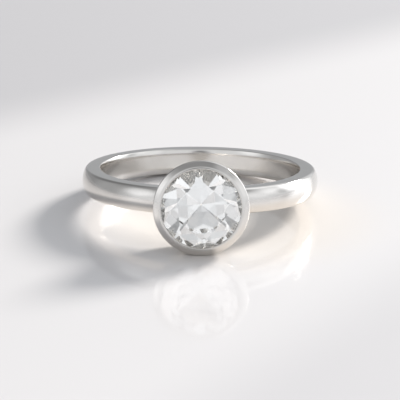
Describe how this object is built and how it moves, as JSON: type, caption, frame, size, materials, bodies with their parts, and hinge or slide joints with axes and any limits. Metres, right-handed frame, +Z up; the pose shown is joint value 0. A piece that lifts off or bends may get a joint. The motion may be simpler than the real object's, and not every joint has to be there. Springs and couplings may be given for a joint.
{
  "type": "bezel-set topaz ring",
  "caption": "Finger ring with a domed, comfort-fit metal band and a round faceted stone held in a tapered bezel cup, lying on its side.",
  "frame": {"origin": "middle of the ring's bounding box on the surface it lies on, z = 0", "axes": "+Z up from the surface, -Y out to the side that the stone faces, +X to the right seen from the stone's side; the finger axis leans 7.6 degrees from +Z towards +Y"},
  "size_m": [0.0202, 0.0232, 0.0079],
  "materials": {
    "polished_silver": "polished",
    "topaz": "polished"
  },
  "bodies": {
    "root": {"band_with_bezel": "polished_silver", "stone": "topaz"}
  },
  "joints": []
}
